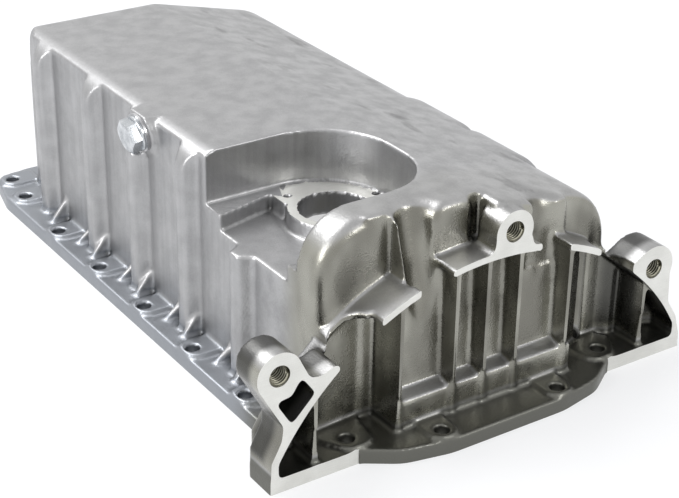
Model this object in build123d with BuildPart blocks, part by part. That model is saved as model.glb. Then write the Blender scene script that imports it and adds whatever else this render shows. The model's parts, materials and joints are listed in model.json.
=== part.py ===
from build123d import *
import os
from math import asin, atan2, cos, hypot, radians, sin, sqrt, tan

os.makedirs("parts", exist_ok=True)

# Cast aluminium engine oil pan, lying on its gasket face with the bottom up.
# X across the engine, Y along it away from the bell housing, Z up from the gasket face.

# Overall sizes
PAN_HEIGHT = 118.0
PAN_FAR_Y = 388.0
FLANGE_HALF_WIDTH = 108.5
FLANGE_THICKNESS = 8.0
WALL = 4.5
PANEL_X = 88.6
BEAD_X = 96.0
FAR_WALL_Y = 371.0
FAR_WALL_LEAN = 5.0
TOP_SLOPE = 14.0
SHOULDER_RADIUS = 16.0
RIGHT_SHOULDER_RADIUS = 34.0

# Stiffening beads of the long walls
BEAD_YS = (92.0, 147.5, 203.5, 258.0, 323.0)
BEAD_BASE = 17.0
BEAD_CREST = 8.0
BEAD_CORNER = 2.6
BROAD_BEAD_BASE = 40.0
BROAD_BEAD_CREST = 15.0
LOW_BEAD_INSET = 22.0

# Flange bolts (M7 clearance holes), given for the left side and mirrored
SIDE_BOLT_X = 102.0
SIDE_BOLT_YS = (70.3, 125.2, 180.1, 235.0, 289.9)
CORNER_BOLTS = ((98.5, 345.5), (95.1, 373.0))
FAR_BOLT = (32.0, 379.5)
OUTER_FRONT_BOLT = (81.0, 9.6)
INNER_FRONT_BOLT = (37.0, -9.2)
FLANGE_HOLE_RADIUS = 4.0
PAD_RISE = 2.1
PAD_HALF = 9.0
GUSSET_THICKNESS = 3.5
GUSSET_FOOT_X = 100.0

# Bell-housing face
RING_TOP_Z = 93.4
RING_INNER = 144.3
RING_THICKNESS = 3.5
RING_FOOT_ANGLE = 60.83
WING_WALL = 4.5
LOBE_DEPTH = 20.0
LOBE_BACK_Y = 62.0
WEB_BACK_Y = 28.0
STRIP_HEIGHT = 7.9
LEFT_LOBE = (-125.3, 64.4)
RIGHT_LOBE = (107.2, 54.6)
EAR = (9.6, 102.4)
LOBE_RADIUS = 12.2
EAR_RADIUS = 11.5
EAR_SLOT_X = 3.5
EAR_SLOT_NEAR_Y = 15.5
EAR_SLOT_FAR_Y = 21.8
LOBE_HOLE_RADIUS = 4.25
LOBE_HOLE_MOUTH = 5.3
EAR_HOLE_DEPTH = 18.0
ACCESS_RADIUS = 10.1
CHANNEL_RADIUS = 9.7
CHANNEL_FLARE = 7.0
CHANNEL_FOOT_Z = 26.0
LEFT_CHANNEL = (-36.6, -7.8, 20.8)
RIGHT_CHANNEL = (37.4, -0.8, 8.9)

# Foot ledge and ribs behind the face
LEDGE_FRONT_Y = 3.0
LEDGE_TOP_Z = 23.7
RIB_FRONT_Y = 2.0
RIB_THICKNESS = 4.0
RIB_XS = (-55.0, -22.0, -3.0, 17.0, 50.0)
WING_RIB_X = 104.0

# Sensor recess
RECESS_FAR_Y = 132.0
RECESS_NEAR_Y = 45.0
RECESS_END_X = -2.0
PLATE_Z = 88.0
LOW_FLOOR_Z = 79.0
SENSOR = (-33.0, 94.3)
SENSOR_RADIUS = 19.1
SENSOR_PLATE_RADIUS = 25.0
SENSOR_SCREW_CIRCLE = 28.0
SENSOR_SCREW_ANGLES = (119.0, 5.0, 240.0)
SENSOR_SCREW_RADIUS = 2.1
SENSOR_SCREW_DEPTH = 11.0

# Drain plug and its boss; the axis leans from the wall towards the flange
PLUG_FACE = Vector(-92.0, 195.8, 106.8)
PLUG_LEAN = 10.0
SPOTFACE_RADIUS = 13.5
BOSS_DEPTH = 11.0
BORE_DEPTH = 14.0
THREAD_RADIUS = 6.7
THREAD_CLEARANCE = 0.05
WASHER_RADIUS = 11.0
WASHER_THICKNESS = 1.5
COLLAR_RADIUS = 10.2
COLLAR_THICKNESS = 2.0
HEX_ACROSS_FLATS = 17.0
HEX_HEIGHT = 6.0
SHANK_LENGTH = 11.5

# Values that follow from the sizes above
SLOPE_RISE = tan(radians(TOP_SLOPE))
PAD_TOP = FLANGE_THICKNESS + PAD_RISE
RING_OUTER = RING_INNER + RING_THICKNESS
RING_CENTRE_Z = RING_TOP_Z - RING_OUTER
CAVITY_X = RING_INNER * sin(radians(RING_FOOT_ANGLE))
WING_X = CAVITY_X + WING_WALL
PLUG_AXIS = Vector(-cos(radians(PLUG_LEAN)), 0, -sin(radians(PLUG_LEAN)))
PLUG_PLANE = Plane(origin=PLUG_FACE, x_dir=(0, 1, 0), z_dir=PLUG_AXIS)
PLUG_LINE = Axis(PLUG_FACE, PLUG_AXIS)
HEAD_SIDE = Plane(origin=PLUG_FACE, x_dir=PLUG_AXIS, z_dir=(0, 1, 0))
HEAD_END = WASHER_THICKNESS + COLLAR_THICKNESS + HEX_HEIGHT
OTHER_BOLTS = CORNER_BOLTS + (FAR_BOLT, OUTER_FRONT_BOLT, INNER_FRONT_BOLT)


def rounded_loop(corners):
    """Draws a closed loop of straight lines whose corners (x, y, radius) are rounded."""
    count = len(corners)
    arcs = []
    for i in range(count):
        before = corners[i - 1]
        x, y, radius = corners[i]
        after = corners[(i + 1) % count]
        ux, uy = before[0] - x, before[1] - y
        vx, vy = after[0] - x, after[1] - y
        ul, vl = hypot(ux, uy), hypot(vx, vy)
        ux, uy, vx, vy = ux / ul, uy / ul, vx / vl, vy / vl
        bx, by = ux + vx, uy + vy
        bl = hypot(bx, by)
        if radius == 0 or bl < 1e-6:
            arcs.append(((x, y), None, (x, y)))
            continue
        half = asin(min(1.0, abs(ux * vy - uy * vx) / bl))
        reach = radius / tan(half)
        bow = radius / sin(half) - radius
        start = (x + ux * reach, y + uy * reach)
        middle = (x + bx / bl * bow, y + by / bl * bow)
        arcs.append((start, middle, (x + vx * reach, y + vy * reach)))
    for i in range(count):
        start, middle, end = arcs[i]
        if middle is not None:
            ThreePointArc(start, middle, end)
        Line(end, arcs[(i + 1) % count][0])


def top_at(x, inset=0.0):
    """Height of the pan's top over x: level to the fold, then falling to the right."""
    return PAN_HEIGHT - inset - max(0.0, x) * SLOPE_RISE


def mirrored(corners):
    """Left-hand corners from the front to the back, and their mirror image back again."""
    return corners + [(-x, y, r) for x, y, r in reversed(corners)]


def shoulder_block(left, right, inset, near_y, far_y, radius, right_radius):
    """Block under the pan's two top planes with rounded shoulders and a leaning far end."""
    with BuildPart() as block:
        with BuildSketch(Plane.XZ.offset(-near_y)):
            with BuildLine():
                rounded_loop([
                    (left, -5.0, 0.0),
                    (right, -5.0, 0.0),
                    (right, top_at(right, inset), right_radius),
                    (0.0, top_at(0.0, inset), 0.0),
                    (left, top_at(0.0, inset), radius),
                ])
            make_face()
        extrude(amount=-(far_y + 20.0 - near_y))
        lean = Plane(
            origin=(0, far_y, 0),
            x_dir=(1, 0, 0),
            z_dir=(0, cos(radians(FAR_WALL_LEAN)), sin(radians(FAR_WALL_LEAN))),
        )
        split(bisect_by=lean, keep=Keep.BOTTOM)
        far_face = block.faces().sort_by(Axis.Y)[-1]
        rim = [edge for edge in far_face.edges() if edge.center().Z > 0.0]
        fillet(rim, radius)
    return block.part


def front_lobe(left, right, near_y, left_radius, right_radius, edge_radius):
    """Rounded block that stands forward of the sump, under the same top planes."""
    with BuildPart() as block:
        with BuildSketch(Plane.XZ.offset(-near_y)):
            with BuildLine():
                rounded_loop([
                    (left, 4.0, 0.0),
                    (right, 4.0, 0.0),
                    (right, top_at(right), right_radius),
                    (left, top_at(left), left_radius),
                ])
            make_face()
        extrude(amount=-(LOBE_BACK_Y - near_y))
        face = block.faces().sort_by(Axis.Y)[0]
        fillet([edge for edge in face.edges() if edge.center().Z > 20.0], edge_radius)
    return block.part


# The outer and the inner shape of the sump, which share their top planes
bead_shape = shoulder_block(
    -BEAD_X, BEAD_X, 0.0, 30.0, FAR_WALL_Y, SHOULDER_RADIUS, RIGHT_SHOULDER_RADIUS + 2.0
)
panel_shape = shoulder_block(
    -BEAD_X, PANEL_X, 0.0, 30.0, FAR_WALL_Y, SHOULDER_RADIUS, RIGHT_SHOULDER_RADIUS
)
low_shape = shoulder_block(
    -BEAD_X, BEAD_X, LOW_BEAD_INSET, 30.0, FAR_WALL_Y, SHOULDER_RADIUS, RIGHT_SHOULDER_RADIUS
)
inner_shape = shoulder_block(
    -PANEL_X + WALL, PANEL_X - WALL, WALL, 10.0, FAR_WALL_Y - WALL,
    SHOULDER_RADIUS - WALL, RIGHT_SHOULDER_RADIUS - WALL,
)
lobe_1 = front_lobe(-PANEL_X, -46.0, 23.5, 28.0, 10.0, 8.0)
lobe_2 = front_lobe(-27.4, EAR_SLOT_X - 6.0, 17.0, 9.0, 7.0, 5.0)
lobe_3 = front_lobe(EAR_SLOT_X, 28.6, 7.0, 4.0, 5.0, 3.5)
lobe_4 = front_lobe(40.0, PANEL_X, 19.0, 5.0, RIGHT_SHOULDER_RADIUS, 5.0)
brow_left = front_lobe(-62.0, -14.0, 24.5, 0.0, 0.0, 1.0)
brow_right = front_lobe(10.0, 57.0, 14.0, 0.0, 5.0, 4.0)

# Outline of the long walls without their beads, from the front to the far end
left_wall = [
    (-PANEL_X, LOBE_BACK_Y - 16.0, 0.0),
    (-PANEL_X, 341.0, 6.0),
    (-82.0, 351.0, 6.0),
    (-82.0, FAR_WALL_Y + 1.0, 12.0),
]


def bead_outline(side, bead_y, base, crest, corner):
    """Draws one bead of a long wall, seen from above, with a root inside the wall."""
    rounded_loop([
        (side * (PANEL_X - 30.0), bead_y - base / 2, 0.0),
        (side * PANEL_X, bead_y - base / 2, 0.0),
        (side * BEAD_X, bead_y - crest / 2, corner),
        (side * BEAD_X, bead_y + crest / 2, corner),
        (side * PANEL_X, bead_y + base / 2, 0.0),
        (side * (PANEL_X - 30.0), bead_y + base / 2, 0.0),
    ])


# Beads that run up to the shoulder: narrow on the left, two broad ones on the right
with BuildPart() as tall_beads:
    with BuildSketch(Plane.XY):
        for bead_y in BEAD_YS:
            with BuildLine():
                bead_outline(-1, bead_y, BEAD_BASE, BEAD_CREST, BEAD_CORNER)
            make_face()
        for bead_y in BEAD_YS[:2]:
            with BuildLine():
                bead_outline(1, bead_y + 5.0, BROAD_BEAD_BASE, BROAD_BEAD_CREST, 0.0)
            make_face()
    extrude(amount=PAN_HEIGHT)
    add(bead_shape, mode=Mode.INTERSECT)

# The other beads on the right end below the broad shoulder
with BuildPart() as low_beads:
    with BuildSketch(Plane.XY):
        for bead_y in BEAD_YS[2:]:
            with BuildLine():
                bead_outline(1, bead_y, BEAD_BASE, BEAD_CREST, 0.0)
            make_face()
    extrude(amount=PAN_HEIGHT)
    add(low_shape, mode=Mode.INTERSECT)

with BuildPart() as plug_boss:
    with BuildSketch(PLUG_PLANE):
        Circle(SPOTFACE_RADIUS)
    extrude(amount=-BOSS_DEPTH)
    with Locations((PLUG_FACE.X, PLUG_FACE.Y, PAN_HEIGHT / 2)):
        Box(60.0, 60.0, PAN_HEIGHT, mode=Mode.INTERSECT)

# Space inside the sump: straight walls, set back behind the access channels
with BuildPart() as sump_space:
    with BuildSketch(Plane.XY.offset(-1.0)):
        with BuildLine():
            rounded_loop([
                (-PANEL_X + WALL, 28.0, 8.0),
                (-50.0, 28.0, 6.0),
                (-45.0, 33.0, 5.0),
                (-28.0, 33.0, 5.0),
                (-22.0, 22.5, 5.0),
                (PANEL_X - WALL, 23.5, 8.0),
                (PANEL_X - WALL, 343.0, 6.0),
                (77.5, 353.0, 6.0),
                (77.5, FAR_WALL_Y, 8.0),
                (-77.5, FAR_WALL_Y, 8.0),
                (-77.5, 353.0, 6.0),
                (-PANEL_X + WALL, 343.0, 6.0),
            ])
        make_face()
    extrude(amount=PAN_HEIGHT)
    add(inner_shape, mode=Mode.INTERSECT)
    # the recess and the slot of the ear keep a wall under them
    with BuildSketch(Plane.XY.offset(LOW_FLOOR_Z - WALL)):
        with BuildLine():
            rounded_loop([
                (-120.0, 10.0, 0.0),
                (RECESS_END_X + WALL, 10.0, 0.0),
                (RECESS_END_X + WALL, RECESS_FAR_Y + WALL, 46.0),
                (-120.0, RECESS_FAR_Y + WALL, 0.0),
            ])
        make_face()
    extrude(amount=60.0, mode=Mode.SUBTRACT)
    with BuildSketch(Plane.XY.offset(88.0)):
        with BuildLine():
            rounded_loop([
                (-7.0, 10.0, 0.0),
                (24.0, 10.0, 0.0),
                (24.0, EAR_SLOT_FAR_Y + 6.0, 4.0),
                (-7.0, EAR_SLOT_FAR_Y + 6.0, 4.0),
            ])
        make_face()
    extrude(amount=60.0, mode=Mode.SUBTRACT)

# Outline of the bell-housing face with both wings filled; the hollow is cut later
with BuildPart() as bell_plate:
    with BuildSketch(Plane.XZ):
        with BuildLine():
            rounded_loop([
                (-WING_X, 0.0, 0.0),
                (-WING_X + 0.6, 17.5, 3.0),
                (-WING_X + 6.2, 28.0, 5.0),
                (-WING_X + 7.3, 36.0, 5.0),
                (LEFT_LOBE[0] - 11.1, LEFT_LOBE[1] - 5.0, 0.0),
                (LEFT_LOBE[0], LEFT_LOBE[1], 0.0),
                (-114.0, 68.9, 0.0),
                (-108.6, 58.2, 4.0),
                (-103.0, 57.2, 4.0),
                (-93.6, 60.6, 1.5),
                (-89.0, 54.0, 0.0),
                (-86.0, 0.0, 0.0),
            ])
        make_face()
        with Locations(LEFT_LOBE):
            Circle(LOBE_RADIUS)
    extrude(amount=-LOBE_DEPTH)
    with BuildSketch(Plane.XZ):
        with BuildLine():
            rounded_loop([
                (86.0, 0.0, 0.0),
                (WING_X + 1.2, 0.0, 0.0),
                (WING_X + 0.8, 8.0, 3.0),
                (WING_X - 3.0, 20.5, 6.0),
                (RIGHT_LOBE[0] + 13.4, 31.0, 6.0),
                (RIGHT_LOBE[0] + 12.0, 52.0, 0.0),
                (RIGHT_LOBE[0], RIGHT_LOBE[1], 0.0),
                (101.0, 66.8, 0.0),
                (90.6, 60.6, 2.0),
                (89.0, 54.0, 0.0),
            ])
        make_face()
        with Locations(RIGHT_LOBE):
            Circle(LOBE_RADIUS + 1.0)
    extrude(amount=-LOBE_DEPTH)
    # webs under the ring that close the wings behind
    with BuildSketch(Plane.XZ.offset(-WEB_BACK_Y)):
        with Locations((-(WING_X + 70.0) / 2, 35.0), ((WING_X + 70.0) / 2, 35.0)):
            Rectangle(WING_X - 82.0, 70.0)
        with Locations((0.0, RING_CENTRE_Z)):
            Circle(RING_INNER + 1.0, mode=Mode.INTERSECT)
    extrude(amount=WEB_BACK_Y - 15.0)
    # ring that carries the tabs
    with BuildSketch(Plane.XZ):
        with Locations((0.0, RING_CENTRE_Z)):
            Circle(RING_OUTER)
            Circle(RING_INNER - 4.0, mode=Mode.SUBTRACT)
        with Locations((0.0, 70.0)):
            Rectangle(176.0, 80.0, mode=Mode.INTERSECT)
    extrude(amount=-26.0)
    # ear with its flared foot
    with BuildSketch(Plane.XZ):
        with BuildLine():
            rounded_loop([
                (-6.5, 90.0, 0.0),
                (27.9, 88.0, 0.0),
                (27.9, 91.2, 0.0),
                (22.4, 91.8, 3.0),
                (21.1, 97.0, 0.0),
                (EAR[0], EAR[1], 0.0),
                (-1.7, 100.5, 0.0),
                (-2.2, 94.6, 4.0),
                (-6.5, 92.8, 0.0),
            ])
        make_face()
        with Locations(EAR):
            Circle(EAR_RADIUS)
    extrude(amount=-EAR_SLOT_NEAR_Y)
    # floor and far wall of the slot behind the ear
    with BuildSketch(Plane.XY.offset(80.0)):
        with Locations((8.0, 33.5)):
            Rectangle(28.0, 33.0)
    extrude(amount=13.5)
    with BuildSketch(Plane.XZ.offset(-EAR_SLOT_FAR_Y)):
        with BuildLine():
            Polyline((-12.0, 90.0), (10.0, 90.0), (10.0, top_at(10.0)), (0.0, PAN_HEIGHT),
                     (-12.0, PAN_HEIGHT), close=True)
        make_face()
    extrude(amount=EAR_SLOT_FAR_Y - 50.0)

# What is hollow behind the face: under the ring, above the strip, up to the walls
with BuildPart() as bell_hollow:
    with BuildSketch(Plane.XY.offset(STRIP_HEIGHT)):
        with BuildLine():
            rounded_loop([
                (-140.0, -5.0, 0.0),
                (140.0, -5.0, 0.0),
                (140.0, 17.2, 0.0),
                (124.0, 17.2, 3.0),
                (110.0, 22.5, 4.0),
                (98.0, 20.0, 3.0),
                (91.0, 24.5, 3.0),
                (80.0, 24.5, 4.0),
                (57.0, 17.0, 3.0),
                (-50.0, 17.0, 3.0),
                (-57.0, 22.0, 4.0),
                (-66.0, 24.5, 4.0),
                (-92.0, 22.5, 3.0),
                (-98.0, 19.0, 3.0),
                (-110.0, 20.0, 3.0),
                (-128.0, 16.5, 3.0),
                (-140.0, 16.5, 0.0),
            ])
        make_face()
    extrude(amount=100.0)
    with BuildSketch(Plane.XZ.offset(10.0)):
        with BuildLine():
            ring_span = RING_CENTRE_Z + RING_INNER * cos(radians(RING_FOOT_ANGLE))
            Polyline(
                (-CAVITY_X, ring_span),
                (-CAVITY_X, STRIP_HEIGHT - 1.0),
                (CAVITY_X, STRIP_HEIGHT - 1.0),
                (CAVITY_X, ring_span),
            )
            ThreePointArc(
                (CAVITY_X, ring_span),
                (0.0, RING_CENTRE_Z + RING_INNER),
                (-CAVITY_X, ring_span),
            )
        make_face()
    extrude(amount=-60.0, mode=Mode.INTERSECT)

# Wall between the ribs and the ledge at its foot, both under the ring
with BuildPart() as rib_wall:
    with BuildSketch(Plane.YZ.offset(-54.0)):
        with BuildLine():
            Polyline(
                (48.0, 4.0), (LEDGE_FRONT_Y, 4.0), (LEDGE_FRONT_Y, LEDGE_TOP_Z), (11.5, 27.0),
                (13.5, 88.0), (48.0, 88.0),
                close=True,
            )
        make_face()
    extrude(amount=109.0)
    with BuildSketch(Plane.XZ):
        with Locations((0.0, RING_CENTRE_Z)):
            Circle(RING_INNER + 1.0)
    extrude(amount=-60.0, mode=Mode.INTERSECT)

with BuildPart() as pan_casting:
    # long walls and top
    with BuildSketch(Plane.XY):
        with BuildLine():
            rounded_loop(mirrored(left_wall))
        make_face()
    extrude(amount=PAN_HEIGHT)
    add(panel_shape, mode=Mode.INTERSECT)
    add(tall_beads.part)
    add(low_beads.part)
    add(lobe_1)
    add(lobe_2)
    add(lobe_3)
    add(lobe_4)
    add(brow_left)
    add(brow_right)
    # wedge that closes the sump behind the leaning channels
    with BuildSketch(Plane.YZ.offset(LEFT_CHANNEL[0] - CHANNEL_RADIUS - 1.0)):
        with BuildLine():
            Polyline(
                (48.0, 4.0), (3.0, 4.0), (3.0, 60.7), (LEFT_CHANNEL[2], PAN_HEIGHT),
                (48.0, PAN_HEIGHT), close=True,
            )
        make_face()
    extrude(amount=2 * CHANNEL_RADIUS + 1.0)
    # bell-housing face, hollowed behind the ring
    add(bell_plate.part)
    add(bell_hollow.part, mode=Mode.SUBTRACT)
    add(rib_wall.part)
    with BuildSketch(Plane.XZ) as rib_faces:
        for rib_x in RIB_XS + (-WING_RIB_X, WING_RIB_X):
            reach = RING_CENTRE_Z + sqrt((RING_INNER + 1.0) ** 2 - rib_x ** 2)
            with Locations((rib_x, (reach + 4.0) / 2)):
                Rectangle(RIB_THICKNESS, reach - 4.0)
    extrude(rib_faces.sketch, amount=-25.0)
    # ribs and ring stand behind the machined face
    with BuildSketch(Plane.XY.offset(STRIP_HEIGHT)):
        Rectangle(2 * WING_RIB_X + 12.0, 2 * RIB_FRONT_Y)
    extrude(amount=20.0, mode=Mode.SUBTRACT)

    add(sump_space.part, mode=Mode.SUBTRACT)
    add(plug_boss.part)

    # gasket flange, cut open to the inside
    with BuildSketch(Plane.XY):
        with BuildLine():
            rounded_loop(mirrored([
                (-36.0, -17.3, 40.0),
                (-62.0, -12.0, 25.0),
                (-80.0, 0.0, 8.0),
                (-WING_X, 0.0, 0.0),
                (-WING_X, LOBE_DEPTH, 0.0),
                (-FLANGE_HALF_WIDTH, WEB_BACK_Y, 0.0),
                (-FLANGE_HALF_WIDTH, 353.0, 20.0),
                (-101.5, 385.0, 12.0),
                (-76.0, PAN_FAR_Y, 30.0),
            ]))
        make_face()
        with BuildLine():
            rounded_loop(mirrored([
                (-60.0, 30.0, 6.0),
                (-PANEL_X + WALL, 30.0, 8.0),
                (-PANEL_X + WALL, 343.0, 6.0),
                (-77.5, 353.0, 6.0),
                (-77.5, FAR_WALL_Y - WALL, 10.0),
            ]))
        make_face(mode=Mode.SUBTRACT)
    extrude(amount=FLANGE_THICKNESS)
    # bolt pads that run from each flange bolt back to the wall
    with BuildSketch(Plane.XY.offset(FLANGE_THICKNESS)):
        for side in (-1, 1):
            for bolt_y in SIDE_BOLT_YS:
                with BuildLine():
                    rounded_loop([
                        (side * (PANEL_X - 2.0), bolt_y - PAD_HALF, 0.0),
                        (side * (FLANGE_HALF_WIDTH - 0.8), bolt_y - PAD_HALF, 7.0),
                        (side * (FLANGE_HALF_WIDTH - 0.8), bolt_y + PAD_HALF, 7.0),
                        (side * (PANEL_X - 2.0), bolt_y + PAD_HALF, 0.0),
                    ])
                make_face()
            for bolt_x, bolt_y in CORNER_BOLTS:
                with BuildLine():
                    rounded_loop([
                        (side * 80.0, bolt_y - 8.5, 0.0),
                        (side * (bolt_x + 6.6), bolt_y - 8.5, 6.5),
                        (side * (bolt_x + 6.6), bolt_y + 8.5, 6.5),
                        (side * 80.0, bolt_y + 8.5, 0.0),
                    ])
                make_face()
            with BuildLine():
                rounded_loop([
                    (side * (FAR_BOLT[0] - 8.5), FAR_WALL_Y - 2.0, 0.0),
                    (side * (FAR_BOLT[0] - 8.5), PAN_FAR_Y - 1.0, 6.5),
                    (side * (FAR_BOLT[0] + 8.5), PAN_FAR_Y - 1.0, 6.5),
                    (side * (FAR_BOLT[0] + 8.5), FAR_WALL_Y - 2.0, 0.0),
                ])
            make_face()
            with BuildLine():
                rounded_loop([
                    (side * (INNER_FRONT_BOLT[0] - 8.0), LEDGE_FRONT_Y + 2.0, 0.0),
                    (side * (INNER_FRONT_BOLT[0] - 8.0), INNER_FRONT_BOLT[1] - 7.0, 7.5),
                    (side * (INNER_FRONT_BOLT[0] + 8.0), INNER_FRONT_BOLT[1] - 7.0, 7.5),
                    (side * (INNER_FRONT_BOLT[0] + 8.0), LEDGE_FRONT_Y + 2.0, 0.0),
                ])
            make_face()
            with BuildLine():
                rounded_loop([
                    (side * 66.0, 24.0, 0.0),
                    (side * (OUTER_FRONT_BOLT[0] - 11.0), 1.0, 8.0),
                    (side * (OUTER_FRONT_BOLT[0] + 4.0), 0.6, 6.0),
                    (side * (OUTER_FRONT_BOLT[0] + 13.5), 16.0, 4.0),
                    (side * 90.0, 24.0, 0.0),
                ])
            make_face()
    extrude(amount=PAD_RISE)
    # gussets from the flange up the long walls, two to each bolt
    for bolt_y in SIDE_BOLT_YS:
        for offset, foot, height in ((16.0, GUSSET_FOOT_X, 23.0), (-17.8, 99.0, 17.0)):
            with BuildSketch(Plane.XZ.offset(-(bolt_y + offset - GUSSET_THICKNESS / 2))):
                for side in (-1, 1):
                    with BuildLine():
                        Polyline(
                            (side * (PANEL_X - 2.0), 6.0),
                            (side * foot, 6.0),
                            (side * foot, FLANGE_THICKNESS + 0.5),
                            (side * (PANEL_X - 0.4), height),
                            (side * (PANEL_X - 2.0), height),
                            close=True,
                        )
                    make_face()
            extrude(amount=-GUSSET_THICKNESS)

    # recess for the sensor, open through the left wall, with a lower floor beside its plate
    with BuildSketch(Plane.XY.offset(PLATE_Z)):
        with BuildLine():
            rounded_loop([
                (-120.0, RECESS_NEAR_Y, 0.0),
                (RECESS_END_X, RECESS_NEAR_Y, 32.0),
                (RECESS_END_X, RECESS_FAR_Y, 42.0),
                (-120.0, RECESS_FAR_Y, 0.0),
            ])
        make_face()
    extrude(amount=40.0, mode=Mode.SUBTRACT)
    with BuildSketch(Plane.XY.offset(LOW_FLOOR_Z)):
        with BuildLine():
            rounded_loop([
                (-120.0, RECESS_NEAR_Y + 8.0, 0.0),
                (-88.0, RECESS_NEAR_Y + 8.0, 0.0),
                (SENSOR[0], RECESS_NEAR_Y + 2.0, 0.0),
                (SENSOR[0], SENSOR[1], 0.0),
                (-53.0, 112.0, 0.0),
                (-53.0, 125.5, 0.0),
                (-88.0, 117.0, 0.0),
                (-120.0, 117.0, 0.0),
            ])
        make_face()
        with Locations(SENSOR):
            Circle(SENSOR_PLATE_RADIUS, mode=Mode.SUBTRACT)
        with Locations(SENSOR):
            for angle in SENSOR_SCREW_ANGLES:
                SlotCenterPoint(
                    (SENSOR_SCREW_CIRCLE / 2 * cos(radians(angle)),
                     SENSOR_SCREW_CIRCLE / 2 * sin(radians(angle))),
                    (SENSOR_SCREW_CIRCLE * cos(radians(angle)),
                     SENSOR_SCREW_CIRCLE * sin(radians(angle))),
                    12.0,
                    mode=Mode.SUBTRACT,
                )
    extrude(amount=PLATE_Z - LOW_FLOOR_Z + 1.0, mode=Mode.SUBTRACT)
    with Locations((SENSOR[0], SENSOR[1], LOW_FLOOR_Z)):
        Cylinder(SENSOR_RADIUS, 60.0, mode=Mode.SUBTRACT)
    with BuildSketch(Plane.XY.offset(PLATE_Z)):
        with Locations(SENSOR):
            with Locations(*[
                (SENSOR_SCREW_CIRCLE * cos(radians(angle)), SENSOR_SCREW_CIRCLE * sin(radians(angle)))
                for angle in SENSOR_SCREW_ANGLES
            ]):
                Circle(SENSOR_SCREW_RADIUS)
    extrude(amount=-SENSOR_SCREW_DEPTH, mode=Mode.SUBTRACT)

    # spot face and bore of the drain plug
    with BuildSketch(PLUG_PLANE):
        Circle(SPOTFACE_RADIUS)
    extrude(amount=24.0, mode=Mode.SUBTRACT)
    with BuildSketch(PLUG_PLANE):
        Circle(THREAD_RADIUS + THREAD_CLEARANCE)
    extrude(amount=-BORE_DEPTH, mode=Mode.SUBTRACT)

    # access to the flange bolts past the ring and along the wall
    for side in (-1, 1):
        with BuildSketch(Plane.XY.offset(PAD_TOP)):
            with Locations((side * OUTER_FRONT_BOLT[0], OUTER_FRONT_BOLT[1])):
                Circle(ACCESS_RADIUS)
            with Locations((side * 80.1, 3.0)):
                Rectangle(23.8, 13.0)
        extrude(amount=PAN_HEIGHT, mode=Mode.SUBTRACT)
    # the two channels between the tabs lean into the wall as they rise
    for channel_x, foot_y, head_y in (LEFT_CHANNEL, RIGHT_CHANNEL):
        lean = atan2(head_y - foot_y, PAN_HEIGHT - CHANNEL_FOOT_Z)
        axis = Plane(
            origin=(channel_x, foot_y, CHANNEL_FOOT_Z),
            x_dir=(1, 0, 0),
            z_dir=(0, sin(lean), cos(lean)),
        )
        with BuildSketch(axis):
            Circle(CHANNEL_RADIUS)
        extrude(amount=PAN_HEIGHT, mode=Mode.SUBTRACT)
        # the channel flares where it meets the top
        slope = radians(TOP_SLOPE) if channel_x > 0 else 0.0
        neck_z = top_at(channel_x) - CHANNEL_FLARE / cos(slope)
        neck_y = foot_y + (neck_z - CHANNEL_FOOT_Z) * tan(lean)
        neck = Plane(
            origin=(channel_x, neck_y, neck_z),
            x_dir=(cos(slope), 0, -sin(slope)),
            z_dir=(0, -1, 0),
        )
        mouth = CHANNEL_RADIUS + CHANNEL_FLARE
        with BuildSketch(neck):
            with BuildLine():
                Line((0.0, 0.0), (CHANNEL_RADIUS, 0.0))
                Polyline(
                    (CHANNEL_RADIUS, 0.0), (CHANNEL_RADIUS + 0.3 * CHANNEL_FLARE, 0.7 * CHANNEL_FLARE),
                    (mouth, CHANNEL_FLARE), (mouth, CHANNEL_FLARE + 12.0),
                    (0.0, CHANNEL_FLARE + 12.0), (0.0, 0.0),
                )
            make_face()
        revolve(axis=Axis(neck.origin, neck.y_dir), mode=Mode.SUBTRACT)
        with BuildSketch(Plane.XY.offset(70.0)):
            with Locations((channel_x, foot_y + 8.0)):
                Rectangle(2 * CHANNEL_RADIUS - 0.6, 16.0)
        extrude(amount=PAN_HEIGHT, mode=Mode.SUBTRACT)

    # flange bolt holes
    with BuildSketch(Plane.XY.offset(-1.0)):
        for side in (-1, 1):
            with Locations(*[(side * SIDE_BOLT_X, bolt_y) for bolt_y in SIDE_BOLT_YS]):
                Circle(FLANGE_HOLE_RADIUS)
            with Locations(*[(side * bolt_x, bolt_y) for bolt_x, bolt_y in OTHER_BOLTS]):
                Circle(FLANGE_HOLE_RADIUS)
    extrude(amount=PAD_TOP + 3.0, mode=Mode.SUBTRACT)

    # threaded holes of the bell-housing face with their chamfered mouths, blind in the ear
    with BuildSketch(Plane.XZ):
        with Locations(LEFT_LOBE, RIGHT_LOBE):
            Circle(LOBE_HOLE_RADIUS)
    extrude(amount=-(LOBE_DEPTH + 1.0), mode=Mode.SUBTRACT)
    with BuildSketch(Plane.XZ):
        with Locations(EAR):
            Circle(LOBE_HOLE_RADIUS)
    extrude(amount=-EAR_HOLE_DEPTH, mode=Mode.SUBTRACT)
    for hole_x, hole_z in (LEFT_LOBE, RIGHT_LOBE, EAR):
        with Locations(Plane(origin=(hole_x, 0.5, hole_z), z_dir=(0, 1, 0))):
            Cone(LOBE_HOLE_MOUTH, LOBE_HOLE_MOUTH - 1.0, 1.0, mode=Mode.SUBTRACT)
    # window that lightens the left lobe
    with BuildSketch(Plane.XZ):
        with BuildLine():
            rounded_loop([
                (-127.6, 50.6, 2.0),
                (-118.8, 36.0, 2.0),
                (-105.7, 49.2, 2.0),
                (-113.4, 60.0, 2.0),
                (-118.8, 51.6, 3.0),
            ])
        make_face()
    extrude(amount=-(LOBE_DEPTH - 3.0), mode=Mode.SUBTRACT)
pan_casting.part.label = "pan_casting"
export_step(pan_casting.part, "parts/pan_casting.step")

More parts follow.
